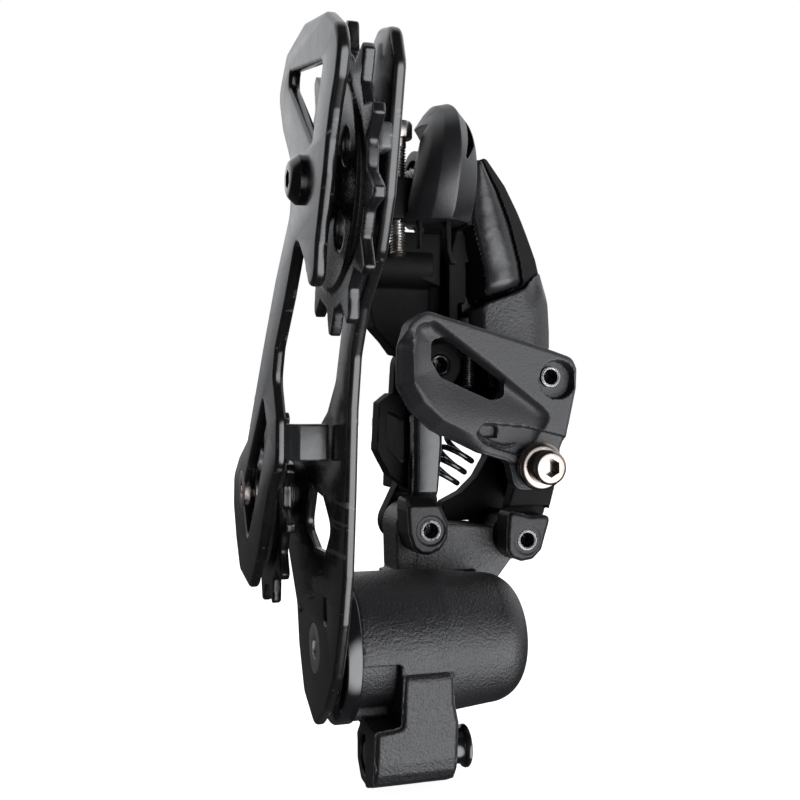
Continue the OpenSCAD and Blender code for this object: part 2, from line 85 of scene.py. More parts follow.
def to_mesh(bm, name):
    mesh = bpy.data.meshes.new(name)
    bmesh.ops.recalc_face_normals(bm, faces=bm.faces)
    bm.to_mesh(mesh)
    bm.free()
    return mesh


def apply_modifiers(obj):
    """Puts the result of every modifier into the mesh."""
    graph = bpy.context.evaluated_depsgraph_get()
    mesh = bpy.data.meshes.new_from_object(obj.evaluated_get(graph))
    old = obj.data
    obj.modifiers.clear()
    obj.data = mesh
    bpy.data.meshes.remove(old)
    return obj


def drop(obj):
    mesh = obj.data
    bpy.data.objects.remove(obj)
    if mesh.users == 0:
        bpy.data.meshes.remove(mesh)


def node_mesh(node, name):
    """A closed copy of a CAD node's mesh, with its flat faces merged."""
    bm = bmesh.new()
    bm.from_mesh(NODES[node].data)
    bmesh.ops.remove_doubles(bm, verts=bm.verts, dist=2e-6)
    bmesh.ops.dissolve_limit(bm, angle_limit=math.radians(0.5), verts=bm.verts, edges=bm.edges)
    return new_object(name, to_mesh(bm, name))


def prism(outline, lo, hi, axis="y"):
    """A closed prism in millimetres: outline as [X, Z] along Y, [Y, Z] along X or [X, Y] along Z."""
    bm = bmesh.new()

    def at(p, t):
        if axis == "y":
            return Vector((p[0], t, p[1])) * MM
        if axis == "x":
            return Vector((t, p[0], p[1])) * MM
        return Vector((p[0], p[1], t)) * MM

    low = [bm.verts.new(at(p, lo)) for p in outline]
    high = [bm.verts.new(at(p, hi)) for p in outline]
    bm.faces.new(low)
    bm.faces.new(high[::-1])
    n = len(outline)
    for i in range(n):
        bm.faces.new([low[i], high[i], high[(i + 1) % n], low[(i + 1) % n]])
    return new_object("prism", to_mesh(bm, "prism"))


def axes_of(axis):
    """Along, and the two directions across, of a rod's axis vector."""
    along = Vector(axis).normalized()
    side = along.orthogonal().normalized()
    if abs(along.x) > 0.99:
        side = Vector((0, 1, 0))
    elif abs(along.y) > 0.99:
        side = Vector((1, 0, 0))
    elif abs(along.z) > 0.99:
        side = Vector((1, 0, 0))
    return along, side, along.cross(side)


def turned(name, origin, axis, rings, count=48, close=True):
    """A turned part. Each ring is (distance along the axis, radius or function of the angle)."""
    along, side, up = axes_of(axis)
    base = Vector(origin)
    bm = bmesh.new()
    rows = []
    for t, radius in rings:
        row = []
        for i in range(count):
            a = 2 * math.pi * i / count
            r = radius(a) if callable(radius) else radius
            row.append(bm.verts.new((base + along * t + side * r * math.cos(a) + up * r * math.sin(a)) * MM))
        rows.append(row)
    for a, b in zip(rows, rows[1:] + ([] if close else rows[:1])):
        for i in range(count):
            j = (i + 1) % count
            bm.faces.new([a[i], a[j], b[j], b[i]])
    if close:
        bm.faces.new(rows[0][::-1])
        bm.faces.new(rows[-1])
    return new_object(name, to_mesh(bm, name))


def hexagon(across):
    """Radius of a hexagon of that width across its flats."""
    return lambda a: across / 2 / math.cos((a + math.pi / 6) % (math.pi / 3) - math.pi / 6)


def rod(origin, axis, length, r):
    return turned("rod", origin, axis, [(0, r), (length, r)])


def y_bore(at, r, length=60):
    """A cutter along Y through a point, from in front of every part."""
    return rod((at.x, NEAR_Y, at.z), Y_AXIS, length, r)


def socket(origin, axis, across, depth):
    """A cutter for a hexagon socket."""
    return turned("hex", origin, axis, [(0, hexagon(across)), (depth, hexagon(across))])


def threaded(name, origin, axis, start, end, r, pitch, depth, head=(), tail=()):
    """A turned part with a helical thread between start and end."""
    steps = int((end - start) / pitch * 8)

    def flank(t):
        def radius(a):
            phase = (t / pitch - a / (2 * math.pi)) % 1
            fade = min(1, (t - start) / pitch, (end - t) / pitch)
            return r - depth * max(0, fade) * min(1, abs(phase - 0.5) * 2.6)
        return radius

    along = [start + (end - start) * i / steps for i in range(steps + 1)]
    rings = [(t, flank(t)) for t in along]
    return turned(name, origin, axis, list(head) + rings + list(tail), 40)


def sweep(name, path, r, sides=10):
    """A round wire along a path in millimetres, with rounded ends."""
    bm = bmesh.new()
    rows = []
    pts = [Vector(p) for p in path]
    normal = (pts[1] - pts[0]).orthogonal().normalized()
    last = len(pts) - 1
    for i, p in enumerate(pts):
        tangent = (pts[min(i + 1, last)] - pts[max(i - 1, 0)]).normalized()
        normal = (normal - tangent * normal.dot(tangent)).normalized()
        other = tangent.cross(normal)
        w = r * (0.75 if i in (0, last) else 1)
        rows.append([bm.verts.new((p + (normal * math.cos(2 * math.pi * k / sides)
                     + other * math.sin(2 * math.pi * k / sides)) * w) * MM) for k in range(sides)])
    for a, b in zip(rows, rows[1:]):
        for k in range(sides):
            j = (k + 1) % sides
            bm.faces.new([a[k], a[j], b[j], b[k]])
    bm.faces.new(rows[0][::-1])
    bm.faces.new(rows[-1])
    return new_object(name, to_mesh(bm, name))


def helix(start, end, r, turns, per_turn=26):
    """Points of a coil from start to end."""
    a, b = Vector(start), Vector(end)
    along, side, up = axes_of(b - a)
    steps = int(turns * per_turn)
    points = []
    for i in range(steps + 1):
        t = i / steps
        angle = 2 * math.pi * turns * t
        points.append(a + (b - a) * t + side * r * math.cos(angle) + up * r * math.sin(angle))
    return points


def boolean(obj, cutters, operation="DIFFERENCE"):
    for c in cutters:
        m = obj.modifiers.new("cut", "BOOLEAN")
        m.operation = operation
        m.object = c
        m.solver = "MANIFOLD"
    apply_modifiers(obj)
    for c in cutters:
        drop(c)
    return obj


def soften(obj, voxel, smooth):
    """Rounds all edges of a solid, as on a casting: an even remesh, then smoothing."""
    m = obj.modifiers.new("even", "REMESH")
    m.mode = "VOXEL"
    m.voxel_size = voxel * MM
    m.adaptivity = 0
    s = obj.modifiers.new("round", "SMOOTH")
    s.factor = 0.5
    s.iterations = smooth
    return apply_modifiers(obj)


def bevel(obj, width=0.3, segments=3, angle=28):
    m = obj.modifiers.new("edge", "BEVEL")
    m.width = width * MM
    m.segments = segments
    m.limit_method = "ANGLE"
    m.angle_limit = math.radians(angle)
    m.use_clamp_overlap = True
    return apply_modifiers(obj)


def shade(obj, angle=35):
    """Smooth shading that keeps edges sharper than angle."""
    mesh = obj.data
    mesh.shade_smooth()
    bm = bmesh.new()
    bm.from_mesh(mesh)
    for e in bm.edges:
        e.smooth = not (len(e.link_faces) == 2 and e.calc_face_angle(0) > math.radians(angle))
    bm.to_mesh(mesh)
    bm.free()


# ---- materials
def shader(name, base, rough, metal=0.0, coat=0.0, spec=0.5):
    mat = bpy.data.materials.new(name)
    mat.use_nodes = True
    tree = mat.node_tree
    tree.nodes.clear()
    out = tree.nodes.new("ShaderNodeOutputMaterial")
    bsdf = tree.nodes.new("ShaderNodeBsdfPrincipled")
    tree.links.new(bsdf.outputs[0], out.inputs[0])
    bsdf.inputs["Base Color"].default_value = (*base, 1)
    bsdf.inputs["Roughness"].default_value = rough
    bsdf.inputs["Metallic"].default_value = metal
    bsdf.inputs["Coat Weight"].default_value = coat
    bsdf.inputs["Coat Roughness"].default_value = 0.12
    bsdf.inputs["Specular IOR Level"].default_value = spec
    return mat, tree, bsdf


def link(tree, a, b):
    tree.links.new(a, b)


def noise_of(tree, scale, detail=4, rough=0.6, stretch=None):
    """Noise in object space. scale is in cells per metre."""
    coords = tree.nodes.new("ShaderNodeTexCoord")
    source = coords.outputs["Object"]
    if stretch:
        mapping = tree.nodes.new("ShaderNodeMapping")
        mapping.inputs["Scale"].default_value = stretch
        link(tree, source, mapping.inputs[0])
        source = mapping.outputs[0]
    n = tree.nodes.new("ShaderNodeTexNoise")
    n.inputs["Scale"].default_value = scale
    n.inputs["Detail"].default_value = detail
    n.inputs["Roughness"].default_value = rough
    link(tree, source, n.inputs["Vector"])
    return n.outputs["Fac"]


def span(tree, value, a, b, to_a, to_b):
    m = tree.nodes.new("ShaderNodeMapRange")
    m.inputs["From Min"].default_value = a
    m.inputs["From Max"].default_value = b
    m.inputs["To Min"].default_value = to_a
    m.inputs["To Max"].default_value = to_b
    link(tree, value, m.inputs["Value"])
    return m.outputs[0]


def math_of(tree, operation, a, b):
    m = tree.nodes.new("ShaderNodeMath")
    m.operation = operation
    for socket, value in zip(m.inputs, (a, b)):
        if isinstance(value, (int, float)):
            socket.default_value = value
        else:
            link(tree, value, socket)
    return m.outputs[0]


def mixed(tree, factor, a, b):
    m = tree.nodes.new("ShaderNodeMix")
    m.data_type = "RGBA"
    link(tree, factor, m.inputs["Factor"])
    for socket, value in ((m.inputs[6], a), (m.inputs[7], b)):
        if isinstance(value, tuple):
            socket.default_value = (*value, 1)
        else:
            link(tree, value, socket)
    return m.outputs[2]


def edge_mask(tree, radius, low=0.93, high=0.995):
    """1 on edges, 0 on flat faces, from how far a rounded normal leans off the real one."""
    soft = tree.nodes.new("ShaderNodeBevel")
    soft.samples = 4
    soft.inputs["Radius"].default_value = radius * MM
    geo = tree.nodes.new("ShaderNodeNewGeometry")
    dot = tree.nodes.new("ShaderNodeVectorMath")
    dot.operation = "DOT_PRODUCT"
    link(tree, soft.outputs[0], dot.inputs[0])
    link(tree, geo.outputs["Normal"], dot.inputs[1])
    return span(tree, dot.outputs["Value"], low, high, 1, 0)


def finish_of(name, base, tint, rough, grain, grain_depth, worn, worn_share, metal=0.0, coat=0.0,
              wave=120, wave_depth=0.0, worn_radius=0.5, scratches=0.0, spread=0.06, spec=0.5):
    """One finish: two close colours, uneven roughness, grain, a slow wave, fine scratches and worn edges."""
    mat, tree, bsdf = shader(name, base, rough, metal, coat, spec)
    cloud = noise_of(tree, 55, 5)
    colour = mixed(tree, span(tree, cloud, 0.35, 0.65, 0, 1), base, tint)
    fine = noise_of(tree, grain, 3, 0.65)
    roughness = math_of(tree, "ADD", span(tree, cloud, 0.3, 0.7, rough - spread, rough + spread),
                        span(tree, fine, 0.3, 0.7, -spread * 0.6, spread * 0.6))
    if scratches:
        lines = noise_of(tree, 420, 2, 0.5, (1, 0.06, 1.4))
        mark = span(tree, lines, 0.66, 0.72, 0, scratches)
        colour = mixed(tree, mark, colour, (0.16, 0.155, 0.15))
        roughness = math_of(tree, "ADD", roughness, math_of(tree, "MULTIPLY", mark, 0.25))
    patch = span(tree, noise_of(tree, 260, 4), 0.62 - 0.25 * worn_share, 0.72 - 0.2 * worn_share, 0, 1)
    mask = math_of(tree, "MULTIPLY", edge_mask(tree, worn_radius), patch)
    colour = mixed(tree, mask, colour, worn)
    roughness = math_of(tree, "ADD", roughness, math_of(tree, "MULTIPLY", mask, 0.08))
    link(tree, colour, bsdf.inputs["Base Color"])
    clamp = tree.nodes.new("ShaderNodeClamp")
    clamp.inputs["Min"].default_value = 0.06
    link(tree, roughness, clamp.inputs[0])
    link(tree, clamp.outputs[0], bsdf.inputs["Roughness"])
    bump = tree.nodes.new("ShaderNodeBump")
    bump.inputs["Strength"].default_value = 1
    bump.inputs["Distance"].default_value = grain_depth * MM
    link(tree, fine, bump.inputs["Height"])
    normal = bump.outputs[0]
    if wave_depth:
        slow = tree.nodes.new("ShaderNodeBump")
        slow.inputs["Strength"].default_value = 1
        slow.inputs["Distance"].default_value = wave_depth * MM
        link(tree, noise_of(tree, wave, 2, 0.4), slow.inputs["Height"])
        link(tree, normal, slow.inputs["Normal"])
        normal = slow.outputs[0]
    link(tree, normal, bsdf.inputs["Normal"])
    return mat


MATERIALS = {
    "casting": finish_of("casting_black", (0.006, 0.006, 0.0065), (0.009, 0.009, 0.010), 0.37, grain=1700,
                         grain_depth=0.22,
                         wave_depth=0.25, worn=(0.07, 0.07, 0.072), worn_share=0.4),
    # core: a darker copy of the casting finish with weaker reflection, used on the clamp body's core, ribs
    # and right flank and on the links' cores: painted shade for hollows and shaded sides
    "core": finish_of("painted_shade_black", (0.0016, 0.0016, 0.0018), (0.0028, 0.0028, 0.0031), 0.62, grain=1500,
                      grain_depth=0.05,
                      wave_depth=0.15, worn=(0.02, 0.02, 0.022), worn_share=0.3, spec=0.12),
    "satin": finish_of("satin_black", (0.010, 0.010, 0.0108), (0.016, 0.016, 0.017), 0.30, grain=1300,
                       grain_depth=0.012,
                       wave=170, wave_depth=0.35, worn=(0.10, 0.10, 0.102), worn_share=0.4, spread=0.09),
    "link": finish_of("link_black", (0.003, 0.003, 0.0034), (0.0048, 0.0048, 0.0054), 0.40, grain=1500,
                      grain_depth=0.10,
                      wave_depth=0.15, worn=(0.06, 0.06, 0.062), worn_share=0.35, spec=0.3),
    "gloss_link": finish_of("link_bar_gloss", (0.008, 0.0085, 0.0095), (0.014, 0.0145, 0.016), 0.22,
                            coat=0.15, grain=1100,
                            grain_depth=0.01, wave=150, wave_depth=0.12, worn=(0.16, 0.16, 0.165),
                            worn_share=0.5),
    "plate": finish_of("plate_gloss_black", (0.005, 0.005, 0.0055), (0.009, 0.0085, 0.0085), 0.23, coat=0.3,
                       grain=700,
                       grain_depth=0.010, wave=260, wave_depth=0.05, worn=(0.10, 0.095, 0.09), worn_share=0.5,
                       scratches=0.4),
    "worn": finish_of("plate_worn", (0.018, 0.019, 0.021), (0.05, 0.051, 0.055), 0.26, coat=0.2, grain=900,
                      grain_depth=0.02, wave=260, wave_depth=0.05, worn=(0.25, 0.25, 0.26), worn_share=0.7,
                      scratches=0.9),
    "composite": finish_of("composite_grey", (0.020, 0.020, 0.022), (0.028, 0.028, 0.0305), 0.44, grain=2100,
                           grain_depth=0.10, wave_depth=0.12, worn=(0.11, 0.11, 0.115), worn_share=0.45,
                           spec=0.4),
    "cover": finish_of("cover_plastic", (0.007, 0.007, 0.0078), (0.011, 0.011, 0.012), 0.36, grain=2200,
                       grain_depth=0.025, wave_depth=0.08, worn=(0.08, 0.08, 0.08), worn_share=0.5),
    "pulley": finish_of("pulley_plastic", (0.004, 0.004, 0.0045), (0.008, 0.008, 0.009), 0.27, coat=0.2,
                        grain=1500,
                        grain_depth=0.03, worn=(0.05, 0.05, 0.052), worn_share=0.6),
    # chrome: the brown tones mixed into the plated bolt's colour are painted reflection of brown surroundings
    "chrome": finish_of("plated_bolt_painted_reflection", (0.40, 0.365, 0.34), (0.19, 0.15, 0.128), 0.19, metal=1, grain=1800,
                        grain_depth=0.006, spread=0.05, worn=(0.40, 0.32, 0.27), worn_share=0.3),
    "steel": finish_of("steel_bright", (0.30, 0.28, 0.26), (0.17, 0.155, 0.14), 0.32, metal=1, grain=1500,
                       grain_depth=0.012, worn=(0.72, 0.71, 0.70), worn_share=0.5),
    "dull": finish_of("steel_dull", (0.28, 0.265, 0.25), (0.18, 0.17, 0.16), 0.40, metal=1, grain=1400,
                      grain_depth=0.02, worn=(0.5, 0.49, 0.48), worn_share=0.4),
    "screw": finish_of("screw_face", (0.50, 0.495, 0.485), (0.40, 0.395, 0.385), 0.42, metal=1, grain=1400,
                       grain_depth=0.02, worn=(0.6, 0.59, 0.58), worn_share=0.4),
    "pin": finish_of("pin_black", (0.012, 0.012, 0.013), (0.02, 0.02, 0.021), 0.22, metal=0.2, coat=0.3,
                     grain=1300,
                     grain_depth=0.01, worn=(0.65, 0.65, 0.66), worn_share=1.4, worn_radius=0.35),
    "flush": finish_of("bolt_flush", (0.42, 0.36, 0.34), (0.33, 0.27, 0.255), 0.36, metal=1, grain=1300,
                       grain_depth=0.02, worn=(0.5, 0.49, 0.48), worn_share=0.4),
    "gloss": finish_of("gloss_black", (0.004, 0.004, 0.0045), (0.007, 0.007, 0.008), 0.14, coat=0.5,
                       grain=900,
                       grain_depth=0.006, worn=(0.12, 0.12, 0.12), worn_share=0.3),
}


BODY = {n: b for b, ns in frame["record"]["behaviour"]["bodies"].items() for n in ns}


def extra(obj, node, material, angle=35):
    """Shades a piece, gives it its finish and puts it in the place of a CAD node, on the same body."""
    shade(obj, angle)
    obj.data.name = obj.name
    obj.data.materials.clear()
    obj.data.materials.append(MATERIALS[material])
    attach(obj, BODY[node])
    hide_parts(node)


def done(obj, node, material, angle=35):
    """The same for a node's main piece, which takes its name from the node."""
    obj.name = node + "_looks"
    extra(obj, node, material, angle)


def inside(outline, xs, zs):
    """Distance in millimetres from points to an outline, positive inside it."""
    best = np.full(xs.shape, 1e9)
    odd = np.zeros(xs.shape, bool)
    for (x0, z0), (x1, z1) in zip(outline, outline[1:] + outline[:1]):
        dx, dz = x1 - x0, z1 - z0
        t = np.clip(((xs - x0) * dx + (zs - z0) * dz) / (dx * dx + dz * dz + 1e-12), 0, 1)
        best = np.minimum(best, np.hypot(xs - x0 - t * dx, zs - z0 - t * dz))
        if dz:
            odd ^= ((z0 > zs) != (z1 > zs)) & (xs < x0 + (zs - z0) * dx / dz)
    return np.where(odd, best, -best)


def beyond(p, q, xs, zs):
    """Distance in millimetres to the right of the line from p to q."""
    length = math.hypot(q[0] - p[0], q[1] - p[1])
    return ((q[1] - p[1]) * (xs - p[0]) - (q[0] - p[0]) * (zs - p[1])) / length


def step_down(d, width):
    """0 where d is below 0, rising smoothly to 1 at the given width."""
    t = np.clip(d / width, 0, 1)
    return t * t * (3 - 2 * t)


def rounded(outline, r, count=6):
    """The outline with its corners rounded to radius r, less where there isn't room."""
    points = []
    n = len(outline)
    for i in range(n):
        a, b, c = (Vector(outline[(i + k - 1) % n]) for k in range(3))
        u, v = (a - b), (c - b)
        turn = math.pi - u.angle(v)
        cut = min(r * math.tan(turn / 2), u.length * 0.48, v.length * 0.48)
        start, end = b + u.normalized() * cut, b + v.normalized() * cut
        for k in range(count + 1):
            t = k / count
            points.append(tuple(start * (1 - t) ** 2 + b * 2 * t * (1 - t) + end * t ** 2))
    return points


def relief(name, outline, front, back, step=0.4):
    """A solid with the outline [X, Z], a flat back at Y = back, and a sculpted front at Y = front(x, z)."""
    x0, x1 = min(p[0] for p in outline) - 1, max(p[0] for p in outline) + 1
    z0, z1 = min(p[1] for p in outline) - 1, max(p[1] for p in outline) + 1
    nx, nz = int((x1 - x0) / step) + 2, int((z1 - z0) / step) + 2
    xs, zs = np.meshgrid(x0 + step * np.arange(nx), z0 + step * np.arange(nz))
    ys = np.minimum(front(xs, zs), back - 0.3)
    bm = bmesh.new()
    grid = [[bm.verts.new((xs[j, i] * MM, ys[j, i] * MM, zs[j,
                                                            i] * MM)) for i in range(nx)] for j in range(nz)]
    for j in range(nz - 1):
        for i in range(nx - 1):
            bm.faces.new([grid[j][i], grid[j][i + 1], grid[j + 1][i + 1], grid[j + 1][i]])
    rim = grid[0][:-1] + [row[-1] for row in grid[:-1]] + grid[-1][:0:-1] + [row[0] for row in grid[:0:-1]]
    low = [bm.verts.new((v.co.x, back * MM, v.co.z)) for v in rim]
    n = len(rim)
    for i in range(n):
        bm.faces.new([rim[i], low[i], low[(i + 1) % n], rim[(i + 1) % n]])
    bm.faces.new(low)
    block = new_object(name, to_mesh(bm, name))
    return boolean(block, [prism(outline, back - 60, back + 1)], "INTERSECT")


def circle(middle, r, count=40):
    angles = [2 * math.pi * i / count for i in range(count)]
    return [(middle[0] + r * math.cos(a), middle[1] + r * math.sin(a)) for a in angles]


def plate(name, loops, x, t, r):
    """A flat plate with rounded edges, from X = x to x + t. Loops are outlines [Y, Z], inner ones holes."""
    curve = bpy.data.curves.new(name, "CURVE")
    curve.dimensions = "2D"
    curve.fill_mode = "BOTH"
    curve.extrude = (t / 2 - r) * MM
    curve.bevel_depth = r * MM
    curve.bevel_resolution = 3
    curve.offset = -r * MM
    for loop in loops:
        spline = curve.splines.new("POLY")
        spline.points.add(len(loop) - 1)
        for point, (y, z) in zip(spline.points, loop):
            point.co = (y * MM, z * MM, 0, 1)
        spline.use_cyclic_u = True
    flat = new_object(name, curve)
    graph = bpy.context.evaluated_depsgraph_get()
    mesh = bpy.data.meshes.new_from_object(flat.evaluated_get(graph))
    bpy.data.objects.remove(flat)
    bpy.data.curves.remove(curve)
    mesh.transform(Matrix(((0, 0, 1, (x + t / 2) * MM), (1, 0, 0, 0), (0, 1, 0, 0), (0, 0, 0, 1))))
    bm = bmesh.new()
    bm.from_mesh(mesh)
    bmesh.ops.remove_doubles(bm, verts=bm.verts, dist=1e-6)
    mesh_out = to_mesh(bm, name)
    bpy.data.meshes.remove(mesh)
    return new_object(name, mesh_out)


def joined(name, parts):
    """One object from several."""
    bm = bmesh.new()
    for p in parts:
        bm.from_mesh(p.data)
        drop(p)
    return new_object(name, to_mesh(bm, name))


# ---- shared positions, in millimetres
PIN_B = centre("pin_outer_upper")
PIN_C, PIN_D = centre("pin_inner_lower"), centre("pin_outer_lower")
ANCHOR = centre("anchor_bolt")
ANGLE_SCREW = centre("b_screw")
CAGE, GUIDE, TENSION = centre("cage_axle"), centre("guide_bushing"), centre("tension_bushing")
LOCK = centre("lock_button")
fan_lo, fan_hi = (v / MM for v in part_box("cable_fan"))
PIN_BORE, FAN_BORE, HOUSING_BORE, ANCHOR_BORE, WASHER_BORE = 2.53, 2.56, 2.66, 2.55, 2.6
plate_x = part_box("inner_plate")[0].x / MM
plate_t = (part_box("outer_plate")[1].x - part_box("guide_bushing")[1].x) / MM
outer_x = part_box("outer_plate")[1].x / MM - plate_t

# ---- cable fan
FAN = rounded([(-10.6, -36.4), (-6.6, -33.6), (25, -42.4), (29.9, -44), (31.1, -46.6), (30.9, -51.2),
               (28.2, -63.4),
               (26.2, -68), (24.6, -75.1), (15.8, -75.1), (14.4, -68.4), (7.4, -66.4), (-4, -61),
               (-9.4, -56.4),
               (-12.4, -51), (-12.3, -42)], 3.2)
TEAR = rounded([(-8.8, -36.6), (-3.9, -35.9), (8.8, -45), (24.6, -57.6), (20, -65), (3, -65), (-2, -59.4),
                (-9.9, -49), (-9.9, -42)], 2.6)
WINDOW = rounded([(-4.6, -40.2), (-1.1, -39.2), (13.4, -49.4), (13.4, -53.4), (9.6, -54.1), (-2.6, -48.8),
                  (-4.9, -45)],
                 1.8)
TRACK = rounded([(5.2, -61.8), (7.7, -59.2), (18.5, -60.2), (28.6, -62.6), (28.4, -66.9), (15.4, -66.9),
                 (10.8, -65.6),
                 (7, -63.9)], 1.0)
POCKET = rounded([(6.5, -61), (8, -59.5), (11.4, -60), (11.2, -63), (7.2, -62.6)], 0.8)
LIP = rounded([(5.6, -61.9), (8.1, -63.9), (10.8, -65), (13, -65.5), (15.9, -64.6), (16.1, -63.9),
               (13, -64.3),
               (10.6, -63.8), (8.3, -62.6), (6.3, -61.2)], 0.4)
PIN_RECESS = (26.0, -49.2)


def fan_front(xs, zs):
    edge = inside(FAN, xs, zs)
    y = fan_lo.y + 0.45 * (1 - step_down(edge, 0.8))
    # Flank along the left and lower left edge
    away = step_down(-(zs + 38 + 0.12 * (xs + 8)), 4) * step_down(8 - xs, 9)
    y = y + away * 4.4 * np.clip(1 - edge / 2.9, 0, 1)
    # Teardrop hollow: a steep wall along its upper edge, fading out downwards and to the right
    tear = np.clip(inside(TEAR, xs, zs), 0, 20)
    wall = np.clip(beyond((-5.5, -35.4), (24.2, -57.1), xs, zs), 0, 20)
    fade = step_down(27 - xs, 7)
    low = step_down(zs + 60.6, 13)
    y = y + 1.8 * (1 - np.exp(-tear / 3.0)) * low * fade
    y = y + 2.7 * fade * (1 - np.exp(-np.minimum(tear, wall) / 0.7)) * np.exp(-wall / 5.0)
    # Track for the cable with its pocket and lip
    y = y + 1.15 * step_down(inside(TRACK, xs, zs), 0.4) + 1.6 * step_down(inside(POCKET, xs, zs), 0.4)
    y = y - 0.8 * step_down(inside(LIP, xs, zs), 0.5)
    # Recess round and beside the upper pin
    y = y + 2.6 * step_down(np.minimum(inside(circle(PIN_RECESS, 4.7), xs, zs), edge - 0.55), 0.4)
    # Lower block under the anchor bolt stands back
    return y + 1.3 * step_down(-(zs + 68.3), 1.2)


fan = relief("cable_fan", FAN, fan_front, fan_hi.y, 0.3)
boolean(fan, [prism(WINDOW, NEAR_Y, -20), y_bore(PIN_B, FAN_BORE, 20), y_bore(ANCHOR, ANCHOR_BORE, 20)])
done(fan, "cable_fan", "composite", 50)

# ---- clamp body: grained casting, smooth shell, and a core darkened as painted shade
core = node_mesh("b_knuckle", "b_knuckle")
ARM_ROOM = [(8.6, 6), (18, 6), (40, -16), (40, -46), (8.6, -46), (8.6, -40.5), (3.5, -40.5), (3.5, -12),
            (8.6, -12)]
boolean(core, [prism(ARM_ROOM, -30, -15.2)])
soften(core, 0.36, 5)
LIMIT_SCREWS = ("limit_screw_high", "limit_screw_low")
SCREW_BORE, HEAD_ROOM = 1.65, 3.3
screws = [centre(node) for node in LIMIT_SCREWS]
head_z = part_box("limit_screw_low")[1].z / MM
pocket_low, pocket_high = head_z - 4.2, head_z + 3


def head_pocket(at):
    left, right = at.x - HEAD_ROOM, at.x + HEAD_ROOM
    outline = [(left, pocket_low), (right, pocket_low), (right, pocket_high), (left, pocket_high)]
    return prism(outline, at.y - HEAD_ROOM, at.y + HEAD_ROOM)


boolean(core, [rod((at.x, at.y, -53), Z_AXIS, 33, SCREW_BORE) for at in screws]
        + [head_pocket(at) for at in screws])
done(core, "b_knuckle", "core")
ARM = rounded([(7.9, 5.4), (13.2, 4.8), (18.4, -1.2), (21.9, -7), (24.9, -12.9), (27.6, -18.8), (29.4, -24.8),
               (30.7, -30.8), (31.6, -37), (31.6, -40.6), (29, -46), (26.6, -49), (19.6, -46), (18, -42.5),
               (9.4, -42.5), (9.4, -14), (7.9, -11.2)], 0.8)
SHELL = rounded([(9.6, 3.4), (11.8, 4.2), (15.8, -2.8), (19, -10.6), (21.6, -20.2), (22.3, -24.8),
                 (21.8, -26),
                 (13, -28.6), (12.6, -22.5), (10.7, -15.7), (9.2, -10), (9, -3)], 1.0)
COLLAR = [(9.6, -32.4), (12.7, -30.2), (18.7, -28.1), (22.9, -26.3), (26, -23.3), (29, -22), (40, -30),
          (40, -50), (9.6, -50)]


def collar_front(xs, zs):
    d = inside(COLLAR, xs, zs)
    left = np.clip(12.4 - xs, 0, 5) ** 2 * 0.35
    y = -22 + 0.012 * (xs - 18) ** 2 + np.clip(xs - 23.4, 0, 12) ** 2 * 0.062 + left
    y = y + 0.5 * (1 - step_down(d, 0.45)) + 2.6 * (1 - step_down(d, 6)) * step_down(xs - 22, 5)
    return np.where(d > 0, y, -12.4)


def flank_front(xs, zs):
    """Falls away to the right of the shell, with a steep wall on its left; stays under the collar."""
    off = np.clip(-inside(SHELL, xs, zs), 0, 30)
    y = np.where(inside(SHELL, xs, zs) > 0, -19.2, -20.4 + off * np.where(xs > 13 - zs * 0.2, 0.72, 3.2))
    return np.where(inside(COLLAR, xs, zs) > 0, np.maximum(y, -16), y)


def shell_front(xs, zs):
    heights = [-28, -22.5, -15.7, -10, -3, 3.4]
    left = np.interp(zs, heights, [12.9, 12.5, 10.7, 9.2, 9.0, 9.6])
    right = np.interp(zs, [-26, -24.8, -20.2, -10.6, -2.8, 4.2], [22, 22.3, 21.6, 19, 15.8, 11.8])
    t = np.clip((xs - left) / (right - left), 0, 1)
    y = -21.4 + 1.5 * np.abs(2 * t - 0.9) ** 2.2
    y = y + 1.6 * np.clip((-24.4 - 0.2 * (19 - xs) - zs) / 2.6, 0, 1) ** 1.6
    return y + 0.5 * (1 - step_down(inside(SHELL, xs, zs), 0.5))


# the right flank takes the darker core finish: painted shade
for name, front, finish in (("b_knuckle_collar", collar_front, "casting"),
                            ("b_knuckle_flank", flank_front, "core")):
    side = relief(name, ARM, front, -12, 0.34)
    boolean(side, [y_bore(PIN_B, PIN_BORE), rod((5, 0, 0), X_AXIS, 30, 8)])
    extra(side, "b_knuckle", finish, 50)
shell = relief("b_knuckle_shell", SHELL, shell_front, -18.6, 0.32)
extra(shell, "b_knuckle", "satin", 50)
# the ribs take the darker core finish: painted shade
ribs = joined("b_knuckle_ribs", [
    bevel(prism([(-7, -12.6), (4, -12.6), (4, -26), (-7, -22)], -12, -9), 0.5),
    bevel(prism([(14.2, -43), (19.2, -43), (19, -51), (17.6, -55), (14.2, -55)], -13.2, -10), 0.5),
    bevel(prism([(3.4, -42), (14, -42), (14, -28), (3.4, -28)], -5, -3.4), 0.3),
    bevel(prism([(-5.4, -11), (-4.3, -11), (-4.5, -18), (-5.1, -18)], -22.8, -20.5), 0.25),
    bevel(prism([(1.2, -11), (2.5, -11), (2.7, -18.6), (4.2, -21.6), (2.4, -21.4), (1.5, -18.6)], -23.6,
                -20.5), 0.3)])
extra(ribs, "b_knuckle", "core")

